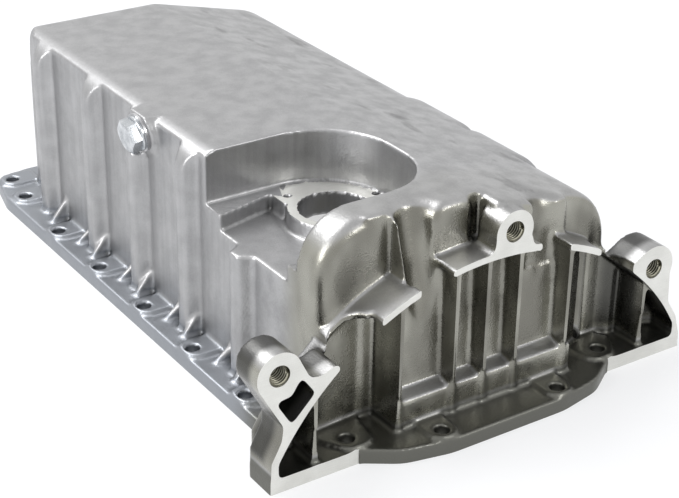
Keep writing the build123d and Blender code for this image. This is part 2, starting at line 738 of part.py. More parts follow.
with BuildPart() as sealing_washer:
    with BuildSketch(PLUG_PLANE):
        Circle(WASHER_RADIUS)
        Circle(THREAD_RADIUS + 0.1, mode=Mode.SUBTRACT)
    extrude(amount=WASHER_THICKNESS)
sealing_washer.part.label = "sealing_washer"
export_step(sealing_washer.part, "parts/sealing_washer.step")

with BuildPart() as drain_plug:
    with BuildSketch(PLUG_PLANE.offset(WASHER_THICKNESS)):
        Circle(COLLAR_RADIUS)
    extrude(amount=COLLAR_THICKNESS)
    chamfer(drain_plug.edges().filter_by(GeomType.CIRCLE).sort_by(PLUG_LINE)[-1], 0.6)
    with BuildSketch(PLUG_PLANE.offset(WASHER_THICKNESS + COLLAR_THICKNESS)):
        RegularPolygon(HEX_ACROSS_FLATS / 2, 6, major_radius=False)
    extrude(amount=HEX_HEIGHT)
    # the corners of the hexagon are turned off towards the end
    with BuildSketch(HEAD_SIDE):
        with BuildLine():
            Polyline(
                (-SHANK_LENGTH - 5.0, 0.0),
                (HEAD_END, 0.0),
                (HEAD_END, HEX_ACROSS_FLATS / 2 - 0.4),
                (HEAD_END - 1.3, HEX_ACROSS_FLATS / sqrt(3) + 0.3),
                (HEAD_END - 1.3, COLLAR_RADIUS + 5.0),
                (-SHANK_LENGTH - 5.0, COLLAR_RADIUS + 5.0),
                close=True,
            )
        make_face()
    revolve(axis=PLUG_LINE, mode=Mode.INTERSECT)
    with BuildSketch(PLUG_PLANE.offset(WASHER_THICKNESS)):
        Circle(THREAD_RADIUS)
    extrude(amount=-(SHANK_LENGTH + WASHER_THICKNESS))
drain_plug.part.label = "drain_plug"
export_step(drain_plug.part, "parts/drain_plug.step")
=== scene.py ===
"""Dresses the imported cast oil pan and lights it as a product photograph."""

import json
import logging
import math
from dataclasses import dataclass, field
from enum import Enum

import bpy
import numpy as np
from mathutils import Matrix, Vector

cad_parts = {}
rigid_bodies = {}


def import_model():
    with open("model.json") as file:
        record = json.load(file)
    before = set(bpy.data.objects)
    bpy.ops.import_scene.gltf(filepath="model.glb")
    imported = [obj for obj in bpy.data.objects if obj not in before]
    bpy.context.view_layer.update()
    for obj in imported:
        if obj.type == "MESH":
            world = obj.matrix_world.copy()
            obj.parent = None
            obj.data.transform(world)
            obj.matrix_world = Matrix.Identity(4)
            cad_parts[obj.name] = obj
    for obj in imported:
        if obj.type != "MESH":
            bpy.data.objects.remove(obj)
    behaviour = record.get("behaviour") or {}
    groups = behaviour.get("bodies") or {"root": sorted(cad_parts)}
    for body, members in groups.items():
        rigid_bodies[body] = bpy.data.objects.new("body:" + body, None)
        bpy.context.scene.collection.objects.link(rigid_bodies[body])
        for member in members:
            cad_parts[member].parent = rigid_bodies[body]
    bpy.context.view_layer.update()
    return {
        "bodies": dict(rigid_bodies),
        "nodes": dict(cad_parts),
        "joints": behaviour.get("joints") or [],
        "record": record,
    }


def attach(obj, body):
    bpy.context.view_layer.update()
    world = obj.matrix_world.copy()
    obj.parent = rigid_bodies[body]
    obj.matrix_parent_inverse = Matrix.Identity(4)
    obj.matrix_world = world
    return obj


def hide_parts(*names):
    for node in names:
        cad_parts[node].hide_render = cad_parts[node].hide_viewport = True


log = logging.getLogger("oil_pan")

MM = 0.001
Point = tuple[float, float, float]
Colour = tuple[float, float, float, float]
Socket = bpy.types.NodeSocket

# Sockets of the Mix node when it mixes colours, which share their names with other kinds.
MIX_SHARE, MIX_FIRST, MIX_SECOND, MIX_RESULT = 0, 6, 7, 2


class Across(Enum):
    """The axis that a machined face looks along, by its index in a place."""

    Y = 1
    Z = 2


class Coating(Enum):
    """What the small steel parts are plated with."""

    ZINC = "zinc_plated_steel"
    PLAIN = "washer_metal"


def deselect_all() -> None:
    """Leaves object mode with nothing selected."""
    if bpy.context.mode != "OBJECT":
        bpy.ops.object.mode_set(mode="OBJECT")
    bpy.ops.object.select_all(action="DESELECT")


def activate(piece: bpy.types.Object) -> None:
    """Selects one object alone and makes it the active one.

    Args:
        piece: the object to select.
    """
    deselect_all()
    piece.select_set(True)
    bpy.context.view_layer.objects.active = piece


def settle(piece: bpy.types.Object) -> None:
    """Bakes an object's place, turn and size into its mesh."""
    activate(piece)
    bpy.ops.object.transform_apply(location=True, rotation=True, scale=True)


def copy_node(node: bpy.types.Object, name: str) -> bpy.types.Object:
    """Copies a CAD node into a free object with its doubles merged.

    Args:
        node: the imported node, which is left as it is.
        name: the new object's name.

    Returns:
        The copy, unparented, at the origin.
    """
    piece = bpy.data.objects.new(name, node.data.copy())
    bpy.context.scene.collection.objects.link(piece)
    piece.data.materials.clear()
    activate(piece)
    bpy.ops.object.mode_set(mode="EDIT")
    bpy.ops.mesh.select_all(action="SELECT")
    bpy.ops.mesh.remove_doubles(threshold=0.00001)
    bpy.ops.mesh.normals_make_consistent(inside=False)
    bpy.ops.object.mode_set(mode="OBJECT")
    return piece


def corner_places(piece: bpy.types.Object) -> np.ndarray:
    """Reads the places of all of a mesh's vertices.

    Args:
        piece: the object whose mesh is read.

    Returns:
        One row of x, y and z in metres for each vertex.
    """
    places = np.empty(3 * len(piece.data.vertices))
    piece.data.vertices.foreach_get("co", places)
    return places.reshape(-1, 3)


def select_corners(piece: bpy.types.Object, chosen: np.ndarray) -> None:
    """Selects vertices and opens edit mode in vertex mode.

    Args:
        piece: the object whose mesh is edited.
        chosen: a mask with one entry for each vertex.
    """
    activate(piece)
    mesh = piece.data
    mesh.vertices.foreach_set("select", chosen.astype(bool))
    mesh.edges.foreach_set("select", np.zeros(len(mesh.edges), dtype=bool))
    mesh.polygons.foreach_set("select", np.zeros(len(mesh.polygons), dtype=bool))
    bpy.context.tool_settings.mesh_select_mode = (True, False, False)
    bpy.ops.object.mode_set(mode="EDIT")


def select_faces(piece: bpy.types.Object, chosen: np.ndarray) -> None:
    """Selects faces and opens edit mode in face mode.

    Args:
        piece: the object whose mesh is edited.
        chosen: a mask with one entry for each face.
    """
    activate(piece)
    mesh = piece.data
    bpy.context.tool_settings.mesh_select_mode = (False, False, True)
    bpy.ops.object.mode_set(mode="EDIT")
    bpy.ops.mesh.select_all(action="DESELECT")
    bpy.ops.object.mode_set(mode="OBJECT")
    mesh.polygons.foreach_set("select", chosen.astype(bool))
    bpy.ops.object.mode_set(mode="EDIT")


def apply_modifier(piece: bpy.types.Object, kind: str, **values: object) -> None:
    """Adds one modifier with its values and applies it.

    Args:
        piece: the object that gets it.
        kind: the modifier's type.
        values: its settings by name.
    """
    activate(piece)
    modifier = piece.modifiers.new(kind.lower(), kind)
    for key, value in values.items():
        setattr(modifier, key, value)
    bpy.ops.object.modifier_apply(modifier=modifier.name)


class Wiring:
    """Places and joins the nodes of one shader tree."""

    def __init__(self, tree: bpy.types.NodeTree) -> None:
        """Starts on a tree."""
        self.tree = tree

    def add(self, kind: str, **inputs: object) -> bpy.types.Node:
        """Adds one node and feeds its inputs.

        Args:
            kind: the node's type name.
            inputs: values or sockets by input name, with underscores for spaces.

        Returns:
            The new node.
        """
        node = self.tree.nodes.new(kind)
        for key, value in inputs.items():
            self.feed(node.inputs[key.replace("_", " ")], value)
        return node

    def feed(self, target: Socket, value: object) -> None:
        """Gives an input a value, or links a socket to it.

        Args:
            target: the input.
            value: a plain value or the socket that feeds it.
        """
        if isinstance(value, bpy.types.NodeSocket):
            self.tree.links.new(value, target)
        else:
            target.default_value = value

    def stretch(self, vector: Socket, scale: Point) -> Socket:
        """Scales a vector along its three axes."""
        node = self.add("ShaderNodeMapping", Vector=vector, Scale=scale)
        return node.outputs["Vector"]

    def noise(self, vector: Socket, scale: float, detail: float = 3.0) -> Socket:
        """Gives a noise between 0 and 1."""
        node = self.add("ShaderNodeTexNoise", Vector=vector, Scale=scale, Detail=detail)
        return node.outputs["Fac"]

    def ramp(self, value: Socket, low: float, high: float, at_low: float = 0.0,
             at_high: float = 1.0) -> Socket:
        """Maps a range smoothly onto another and clamps it.

        Args:
            value: what is mapped.
            low: the value that becomes at_low.
            high: the value that becomes at_high.
            at_low: the result at and below low.
            at_high: the result at and above high.

        Returns:
            The mapped value.
        """
        node = self.tree.nodes.new("ShaderNodeMapRange")
        node.interpolation_type = "SMOOTHSTEP"
        for key, given in (("Value", value), ("From Min", low), ("From Max", high),
                           ("To Min", at_low), ("To Max", at_high)):
            self.feed(node.inputs[key], given)
        return node.outputs["Result"]

    def math(self, work: str, first: object, second: object) -> Socket:
        """Joins two values by one operation.

        Args:
            work: the operation's name.
            first: a number or socket.
            second: a number or socket.

        Returns:
            The result.
        """
        node = self.tree.nodes.new("ShaderNodeMath")
        node.operation = work
        self.feed(node.inputs[0], first)
        self.feed(node.inputs[1], second)
        return node.outputs[0]

    def blend(self, share: object, first: object, second: object,
              way: str = "MIX") -> Socket:
        """Blends two colours by a share.

        Args:
            share: 0 for the first colour, 1 for the second.
            first: a colour or socket.
            second: a colour or socket.
            way: how the second goes over the first.

        Returns:
            The blended colour.
        """
        node = self.tree.nodes.new("ShaderNodeMix")
        node.data_type = "RGBA"
        node.blend_type = way
        self.feed(node.inputs[MIX_SHARE], share)
        self.feed(node.inputs[MIX_FIRST], first)
        self.feed(node.inputs[MIX_SECOND], second)
        return node.outputs[MIX_RESULT]


@dataclass(frozen=True)
class MetalGrain:
    """Shared pattern of a metal skin: a blotchy tone, fine pores and a relief."""

    name: str = "metal_grain"

    def group(self) -> bpy.types.NodeTree:
        """Gives the node group, and builds it the first time.

        Returns:
            The group with inputs Vector, Blotch and Pore, and outputs Tone, Streak and Relief.
        """
        if self.name in bpy.data.node_groups:
            return bpy.data.node_groups[self.name]
        tree = bpy.data.node_groups.new(self.name, "ShaderNodeTree")
        face = tree.interface
        face.new_socket("Vector", in_out="INPUT", socket_type="NodeSocketVector")
        for key, start in (("Blotch", 40.0), ("Pore", 900.0)):
            socket = face.new_socket(key, in_out="INPUT", socket_type="NodeSocketFloat")
            socket.default_value = start
        for key in ("Tone", "Streak", "Relief"):
            face.new_socket(key, in_out="OUTPUT", socket_type="NodeSocketFloat")
        wires = Wiring(tree)
        entry = tree.nodes.new("NodeGroupInput")
        leave = tree.nodes.new("NodeGroupOutput")
        vector = entry.outputs["Vector"]
        broad = wires.noise(vector, 1.0, 4.0)
        wires.feed(broad.node.inputs["Scale"], entry.outputs["Blotch"])
        pores = wires.noise(vector, 1.0, 2.0)
        wires.feed(pores.node.inputs["Scale"], entry.outputs["Pore"])
        drawn = wires.noise(wires.stretch(vector, (1.0, 1.0, 0.05)), 320.0, 3.0)
        tone = wires.math("ADD", wires.math("MULTIPLY", broad, 0.72),
                          wires.math("MULTIPLY", pores, 0.28))
        wires.feed(leave.inputs["Tone"], wires.ramp(tone, 0.30, 0.70))
        wires.feed(leave.inputs["Streak"], wires.ramp(drawn, 0.28, 0.72))
        wires.feed(leave.inputs["Relief"], wires.math("ADD", pores, wires.math(
            "MULTIPLY", broad, 1.5)))
        return tree

    def place(self, wires: Wiring, vector: Socket, blotch: float, pore: float) -> bpy.types.Node:
        """Places the group in a material.

        Args:
            wires: the material's wiring.
            vector: the coordinates that it reads.
            blotch: scale of the broad tone.
            pore: scale of the fine pores.

        Returns:
            The group's node.
        """
        node = wires.tree.nodes.new("ShaderNodeGroup")
        node.node_tree = self.group()
        wires.feed(node.inputs["Vector"], vector)
        node.inputs["Blotch"].default_value = blotch
        node.inputs["Pore"].default_value = pore
        return node


@dataclass(frozen=True)
class CastFinish:
    """Satin cast aluminium: bluish flange, glossy front end with a painted dark warm reflection
    that also lies on the flange's front part, drawn long walls, painted shade in creases and
    hollows, and painted highlight on convex edges.
    """

    name: str = "cast_aluminium"
    dark: Colour = (0.33, 0.33, 0.335, 1.0)
    light: Colour = (0.44, 0.44, 0.445, 1.0)
    flange: Colour = (0.30, 0.315, 0.34, 1.0)
    # The next colour is a painted dark reflection on the flange's front part.
    flange_front_reflection: Colour = (0.145, 0.145, 0.130, 1.0)
    # The next two colours paint a dark warm reflection on the front end.
    front_reflection_dark: Colour = (0.21, 0.205, 0.18, 1.0)
    front_reflection_light: Colour = (0.36, 0.355, 0.315, 1.0)
    # The next colour is a painted highlight on convex edges.
    edge_highlight: Colour = (0.66, 0.66, 0.66, 1.0)
    # The next colour serves the real stains and the painted shade in creases and hollows.
    stain_and_shade: Colour = (0.045, 0.045, 0.043, 1.0)
    grain: MetalGrain = field(default_factory=MetalGrain)

    def build(self) -> bpy.types.Material:
        """Makes the material.

        Returns:
            The new material.
        """
        material = bpy.data.materials.new(self.name)
        material.use_nodes = True
        shader = material.node_tree.nodes["Principled BSDF"]
        wires = Wiring(material.node_tree)
        place = wires.add("ShaderNodeTexCoord").outputs
        grain = self.grain.place(wires, place["Object"], 85.0, 1100.0)
        axes = wires.add("ShaderNodeSeparateXYZ", Vector=place["Object"]).outputs
        facing = wires.add("ShaderNodeSeparateXYZ", Vector=place["Normal"]).outputs
        bump = wires.add("ShaderNodeBump", Strength=0.22, Distance=0.0005,
                         Height=grain.outputs["Relief"])

        # Masks: the upright skin, the glossy front end, which gets a painted dark warm reflection,
        # and the drawn long walls.
        upright = wires.ramp(wires.math("ABSOLUTE", facing["Z"], 0.0), 0.35, 0.8, 1.0, 0.0)
        front = wires.ramp(axes["Y"], 0.040, 0.062, 1.0, 0.0)
        above = wires.ramp(axes["Z"], 0.0105, 0.014)
        front_reflection_share = wires.math("MULTIPLY", wires.math("MULTIPLY", front, above),
                          wires.ramp(upright, 0.0, 1.0, 0.15, 1.0))
        streaks = wires.math("MULTIPLY", upright, wires.ramp(axes["Y"], 0.05, 0.11, 0.0, 0.45))

        # Colours: the body, the bluish flange below it with a painted dark reflection on its front
        # part, and the painted dark warm reflection of the front end.
        plain = wires.blend(grain.outputs["Tone"], self.dark, self.light)
        drawn = wires.blend(grain.outputs["Streak"], self.dark, self.light)
        body = wires.blend(streaks, plain, drawn)
        # Painted dark reflection on the flange's front part, fading towards the back.
        shelf = wires.blend(wires.ramp(axes["Y"], 0.045, 0.075), self.flange_front_reflection, self.flange)
        blue = wires.blend(wires.ramp(axes["Z"], 0.0102, 0.0125, 1.0, 0.0), body, shelf)
        # Bright blotches in the painted dark reflection of the front end.
        reflection_blotch = wires.noise(wires.stretch(place["Object"], (1.0, 1.0, 0.6)), 38.0, 2.0)
        painted_front_reflection = wires.blend(wires.ramp(reflection_blotch, 0.36, 0.64), self.front_reflection_dark, self.front_reflection_light)
        face = wires.blend(front_reflection_share, blue, painted_front_reflection)

        # Handling stains on the right part of the top.
        smudge = wires.noise(wires.stretch(place["Object"], (1.0, 0.45, 1.0)), 75.0, 4.0)
        right_top = wires.math("MULTIPLY", wires.ramp(facing["Z"], 0.85, 0.97),
                               wires.ramp(axes["X"], -0.01, 0.03))
        stain = wires.math("MULTIPLY", wires.ramp(smudge, 0.57, 0.70), right_top)
        stained = wires.blend(wires.math("MULTIPLY", stain, 0.42), face, self.stain_and_shade)

        # Painted shade in the corners and in the wings' hollows, and painted highlight on convex
        # edges.
        sharp = wires.add("ShaderNodeNewGeometry").outputs["Pointiness"]
        # Painted shade in concave creases, found by pointiness.
        crease_shade = wires.ramp(sharp, 0.44, 0.492, 0.75, 0.0)
        # Painted highlight on convex edges, found by pointiness.
        edge_highlight_share = wires.ramp(sharp, 0.535, 0.60, 0.0, 0.35)
        # Painted shade in the wings' hollows, found by position.
        pocket = wires.math("MULTIPLY", wires.ramp(axes["Y"], 0.0035, 0.010),
                            wires.ramp(axes["Y"], 0.0215, 0.030, 1.0, 0.0))
        wing = wires.ramp(wires.math("ABSOLUTE", axes["X"], 0.0), 0.084, 0.092)
        between = wires.math("MULTIPLY", wires.ramp(axes["Z"], 0.0125, 0.017), wing)
        wing_shade = wires.math("MULTIPLY", wires.math("MULTIPLY", pocket, between), 0.85)
        stained_and_shaded = wires.blend(wires.math("MAXIMUM", crease_shade, wing_shade), stained, self.stain_and_shade)
        wires.feed(shader.inputs["Base Color"], wires.blend(edge_highlight_share, stained_and_shaded, self.edge_highlight))
        rough = wires.ramp(grain.outputs["Tone"], 0.0, 1.0, 0.44, 0.34)
        gloss = wires.math("MULTIPLY", front_reflection_share, 0.12)
        wires.feed(shader.inputs["Roughness"], wires.math("SUBTRACT", rough, gloss))
        shader.inputs["Metallic"].default_value = 1.0
        wires.feed(shader.inputs["Normal"], bump.outputs["Normal"])
        return material


@dataclass(frozen=True)
class MachinedFinish:
    """Milled aluminium: pale, nearly matt, with fine cutter marks."""

    name: str = "machined_aluminium"
    low: Colour = (0.60, 0.595, 0.555, 1.0)
    high: Colour = (0.79, 0.785, 0.74, 1.0)
    grain: MetalGrain = field(default_factory=MetalGrain)

    def build(self) -> bpy.types.Material:
        """Makes the material.

        Returns:
            The new material.
        """
        material = bpy.data.materials.new(self.name)
        material.use_nodes = True
        shader = material.node_tree.nodes["Principled BSDF"]
        wires = Wiring(material.node_tree)
        place = wires.add("ShaderNodeTexCoord").outputs
        grain = self.grain.place(wires, place["Object"], 70.0, 1500.0)
        cutter = wires.noise(wires.stretch(place["Object"], (0.06, 1.0, 1.0)), 1800.0, 2.0)
        tone = wires.math("ADD", wires.math("MULTIPLY", grain.outputs["Tone"], 0.5),
                          wires.math("MULTIPLY", cutter, 0.5))
        wires.feed(shader.inputs["Base Color"], wires.blend(tone, self.low, self.high))
        wires.feed(shader.inputs["Roughness"], wires.ramp(tone, 0.0, 1.0, 0.42, 0.30))
        shader.inputs["Metallic"].default_value = 0.55
        bump = wires.add("ShaderNodeBump", Strength=0.08, Distance=0.0003, Height=cutter)
        wires.feed(shader.inputs["Normal"], bump.outputs["Normal"])
        return material


@dataclass(frozen=True)
class TappedFinish:
    """Cut thread: bright crests over roots darkened with painted shade."""

    name: str = "tapped_aluminium"
    # The first colour is painted shade in the thread's roots.
    root: Colour = (0.03, 0.03, 0.022, 1.0)
    crest: Colour = (0.50, 0.48, 0.38, 1.0)
    grain: MetalGrain = field(default_factory=MetalGrain)

    def build(self) -> bpy.types.Material:
        """Makes the material.

        Returns:
            The new material.
        """
        material = bpy.data.materials.new(self.name)
        material.use_nodes = True
        shader = material.node_tree.nodes["Principled BSDF"]
        wires = Wiring(material.node_tree)
        place = wires.add("ShaderNodeTexCoord").outputs
        grain = self.grain.place(wires, place["Object"], 200.0, 1900.0)
        sharp = wires.add("ShaderNodeNewGeometry").outputs["Pointiness"]
        # Painted shade in the thread's roots, found by pointiness.
        share = wires.math("MULTIPLY", wires.ramp(sharp, 0.47, 0.56),
                           wires.ramp(grain.outputs["Tone"], 0.0, 1.0, 0.8, 1.0))
        wires.feed(shader.inputs["Base Color"], wires.blend(share, self.root, self.crest))
        wires.feed(shader.inputs["Roughness"], wires.ramp(share, 0.0, 1.0, 0.6, 0.28))
        shader.inputs["Metallic"].default_value = 0.8
        return material


@dataclass(frozen=True)
class SteelFinish:
    """Bright plated steel with faint handling marks."""

    coating: Coating = Coating.ZINC
    low: Colour = (0.34, 0.36, 0.38, 1.0)
    high: Colour = (0.66, 0.68, 0.70, 1.0)
    smooth: float = 0.16
    matt: float = 0.30
    grain: MetalGrain = field(default_factory=MetalGrain)

    def build(self) -> bpy.types.Material:
        """Makes the material.

        Returns:
            The new material.
        """
        material = bpy.data.materials.new(self.coating.value)
        material.use_nodes = True
        shader = material.node_tree.nodes["Principled BSDF"]
        wires = Wiring(material.node_tree)
        place = wires.add("ShaderNodeTexCoord").outputs
        grain = self.grain.place(wires, place["Object"], 160.0, 1900.0)
        tone = grain.outputs["Tone"]
        wires.feed(shader.inputs["Base Color"], wires.blend(tone, self.low, self.high))
        wires.feed(shader.inputs["Roughness"], wires.ramp(tone, 0.0, 1.0, self.matt, self.smooth))
        shader.inputs["Metallic"].default_value = 1.0
        bump = wires.add("ShaderNodeBump", Strength=0.10, Distance=0.0002,
                         Height=grain.outputs["Relief"])
        wires.feed(shader.inputs["Normal"], bump.outputs["Normal"])
        return material


@dataclass
class Thread:
    """A helical thread: one V profile wound along an axis, with a closed back."""

    crest: float
    root: float
    pitch: float
    turns: int
    inward: bool
    back: float = 0.25 * MM
    steps: int = 40
    crest_share: float = 0.22

    def build(self, name: str, start: Point, axis: Vector) -> bpy.types.Object:
        """Winds the thread.

        Args:
            name: the piece's name.
            start: where the thread begins, in metres.
            axis: the direction in which it advances.

        Returns:
            The thread as one mesh, settled at the origin.
        """
        deselect_all()
        bpy.ops.mesh.primitive_plane_add(size=self.pitch)
        piece = bpy.context.active_object
        piece.name = name
        bpy.ops.object.mode_set(mode="EDIT")
        bpy.ops.mesh.select_all(action="SELECT")
        bpy.ops.transform.rotate(value=math.pi / 2, orient_axis="X", center_override=(0, 0, 0))
        bpy.ops.mesh.delete(type="ONLY_FACE")
        bpy.ops.object.mode_set(mode="OBJECT")
        places = corner_places(piece)
        select_corners(piece, places[:, 0] < 0.0)
        bpy.ops.mesh.delete(type="EDGE")
        bpy.ops.object.mode_set(mode="OBJECT")
        self.shape_profile(piece)
        apply_modifier(
            piece, "SCREW", axis="Z", angle=2 * math.pi, screw_offset=self.pitch,
            iterations=self.turns, steps=self.steps, render_steps=self.steps,
            use_merge_vertices=True, merge_threshold=0.00001, use_smooth_shade=False,
        )
        bpy.ops.object.mode_set(mode="EDIT")
        bpy.ops.mesh.select_all(action="SELECT")
        bpy.ops.mesh.remove_doubles(threshold=0.000005)
        bpy.ops.mesh.normals_make_consistent(inside=False)
        bpy.ops.object.mode_set(mode="OBJECT")
        self.close_back(piece)
        turn = Vector((0.0, 0.0, 1.0)).rotation_difference(axis)
        piece.rotation_mode = "QUATERNION"
        piece.rotation_quaternion = turn
        piece.location = start
        settle(piece)
        return piece

    def shape_profile(self, piece: bpy.types.Object) -> None:
        """Narrows the profile's free edge to a crest and moves both edges to their radii.

        Args:
            piece: the profile, a bracket of three edges that opens towards the axis.
        """
        near, far = (self.root, self.crest) if not self.inward else (self.crest, self.root)
        places = corner_places(piece)
        middle = (self.pitch / 2, 0.0, 0.0)
        outer = places[:, 0] > 0.0
        select_corners(piece, outer)
        bpy.ops.transform.resize(value=(1.0, 1.0, self.crest_share), center_override=middle)
        bpy.ops.transform.translate(value=(far - self.pitch / 2, 0.0, 0.0))
        bpy.ops.object.mode_set(mode="OBJECT")
        select_corners(piece, ~outer)
        bpy.ops.transform.translate(value=(near + self.pitch / 2, 0.0, 0.0))
        bpy.ops.object.mode_set(mode="OBJECT")

    def close_back(self, piece: bpy.types.Object) -> None:
        """Gives the wound sheet its thickness on the side that is not seen.

        Args:
            piece: the wound thread.
        """
        mesh = piece.data
        middle = mesh.polygons[len(mesh.polygons) // 2]
        outward = middle.normal.x * middle.center.x + middle.normal.y * middle.center.y > 0.0
        offset = -1.0 if outward != self.inward else 1.0
        apply_modifier(piece, "SOLIDIFY", thickness=self.back, offset=offset)
        bpy.ops.object.mode_set(mode="EDIT")
        bpy.ops.mesh.select_all(action="SELECT")
        bpy.ops.mesh.normals_make_consistent(inside=False)
        bpy.ops.object.mode_set(mode="OBJECT")


@dataclass
class PanCasting:
    """The cast pan: the CAD shape with the soft edges and blends of a casting.

    The skin is rebuilt and smoothed with an allowance on the faces that are milled in
    reality, and these faces are then cut flat, so that they keep crisp edges.
    """

    node: str = "pan_casting"
    body: str = "casting"
    cast: CastFinish = field(default_factory=CastFinish)
    machined: MachinedFinish = field(default_factory=MachinedFinish)
    voxel: float = 1.1 * MM
    quick_voxel: float = 2.2 * MM
    most_triangles: int = 170000
    allowance: float = 2.4 * MM
    lip_half: float = 80.0 * MM
    lip_top: float = 10.6 * MM
    ring_inner: float = 144.3 * MM
    ring_centre_z: float = -54.4 * MM
    rib_front: float = 2.0 * MM
    rib_reach: float = 110.0 * MM
    rib_half: float = 2.0 * MM
    rib_taper: float = 0.45
    ribs: tuple[float, ...] = (-0.104, -0.055, -0.022, -0.003, 0.017, 0.050, 0.104)
    sensor: tuple[float, float] = (-0.033, 0.0943)
    plate_reach: float = 34.0 * MM
    plate_height: float = 88.0 * MM
    lobe_low: float = 60.0 * MM
    lobe_front: float = 6.0 * MM
    lobe_back: float = 52.0 * MM
    lobe_half: float = 88.0 * MM
    ear_reach: float = 14.5 * MM
    ear_depth: float = 16.0 * MM
    skin_rounds: int = 5
    lobe_rounds: int = 14
    tapped_holes: tuple[Point, ...] = (
        (-0.1253, 0.0, 0.0644), (0.1072, 0.0, 0.0546), (0.0096, 0.0, 0.1024),
    )
    tap_reach: float = 4.45 * MM
    mouth_reach: float = 5.5 * MM
    wide_by: float = 1.32
    mouth_by: float = 1.12
    thread_depth: float = 25.0 * MM
    sharp_edge: float = math.radians(62.0)

    def widen_holes(self, piece: bpy.types.Object) -> None:
        """Opens the three tapped holes so that their threads fit inside.

        Args:
            piece: the copy of the CAD casting.
        """
        for x, _, z in self.tapped_holes:
            places = corner_places(piece)
            reach = np.hypot(places[:, 0] - x, places[:, 2] - z)
            near = places[:, 1] < self.thread_depth
            bore = near & (reach < self.tap_reach)
            mouth = near & (reach >= self.tap_reach) & (reach < self.mouth_reach)
            for chosen, growth in ((bore, self.wide_by), (mouth, self.mouth_by)):
                select_corners(piece, chosen)
                bpy.ops.transform.resize(value=(growth, 1.0, growth),
                                         center_override=(x, 0.0, z))
                bpy.ops.object.mode_set(mode="OBJECT")

    def draft_ribs(self, piece: bpy.types.Object) -> None:
        """Narrows the front edges of the ribs under the ring, as the mould's draft does.

        Args:
            piece: the copy of the CAD casting.
        """
        for rib_x in self.ribs:
            places = corner_places(piece)
            off = np.abs(np.abs(places[:, 0] - rib_x) - self.rib_half)
            reach = np.hypot(places[:, 0], places[:, 2] - self.ring_centre_z)
            under = reach < self.ring_inner + 2 * MM
            front = (places[:, 1] < self.rib_front * 1.01) & (places[:, 2] > self.lip_top)
            select_corners(piece, (off < 0.02 * MM) & under & front)
            bpy.ops.transform.resize(value=(self.rib_taper, 1.0, 1.0),
                                     center_override=(rib_x, 0.0, 0.0))
            bpy.ops.object.mode_set(mode="OBJECT")

    def leave_allowance(self, piece: bpy.types.Object) -> None:
        """Moves the faces that are milled later outwards, as on a raw casting.

        Args:
            piece: the copy of the CAD casting.
        """
        for across in (Across.Y, Across.Z):
            places = corner_places(piece)
            chosen = np.abs(places[:, across.value]) < 0.01 * MM
            if across is Across.Y:
                lip = (places[:, 2] < self.lip_top) & (np.abs(places[:, 0]) < self.lip_half * 0.999)
                chosen &= ~lip
            shift = [0.0, 0.0, 0.0]
            shift[across.value] = -self.allowance
            select_corners(piece, chosen)
            bpy.ops.transform.translate(value=shift)
            bpy.ops.object.mode_set(mode="OBJECT")

    def mill(self, piece: bpy.types.Object) -> None:
        """Cuts the bell-housing face and the gasket face flat.

        The lip of the flange stands in front of the bell-housing face, so three blocks
        cut round it. The ribs under the ring are cut back to their own front.

        Args:
            piece: the softened casting with its allowance.
        """
        wide, deep, low, high, long = 0.16, 0.04, -0.02, 0.14, 0.42
        for near, far in (
            ((-wide, -deep, self.lip_top), (wide, 0.0, high)),
            ((-wide, -deep, low), (-self.lip_half, 0.0, self.lip_top)),
            ((self.lip_half, -deep, low), (wide, 0.0, self.lip_top)),
            ((-wide, -deep, low), (wide, long, 0.0)),
        ):
            deselect_all()
            middle = [(a + b) / 2 for a, b in zip(near, far)]
            bpy.ops.mesh.primitive_cube_add(size=1.0, location=middle)
            cutter = bpy.context.active_object
            cutter.scale = [b - a for a, b in zip(near, far)]
            settle(cutter)
            self.cut_off(piece, cutter)
        deselect_all()
        bpy.ops.mesh.primitive_cylinder_add(
            vertices=240, radius=self.ring_inner, depth=deep,
            location=(0.0, self.rib_front - deep / 2, self.ring_centre_z),
            rotation=(math.pi / 2, 0.0, 0.0),
        )
        under_ring = bpy.context.active_object
        settle(under_ring)
        bpy.ops.mesh.primitive_cube_add(size=1.0, location=(0.0, 0.0, self.lip_top + 0.1))
        window = bpy.context.active_object
        window.scale = (2 * self.rib_reach, 0.1, 0.2)
        settle(window)
        apply_modifier(under_ring, "BOOLEAN", operation="INTERSECT", object=window,
                       solver="MANIFOLD")
        bpy.data.objects.remove(window)
        self.cut_off(piece, under_ring)
        piece.data.materials.clear()
        piece.data.polygons.foreach_set("material_index", [0] * len(piece.data.polygons))

    def cut_off(self, piece: bpy.types.Object, cutter: bpy.types.Object) -> None:
        """Takes a cutter's volume away from the casting and removes the cutter."""
        apply_modifier(piece, "BOOLEAN", operation="DIFFERENCE", object=cutter,
                       solver="MANIFOLD")
        bpy.data.objects.remove(cutter)

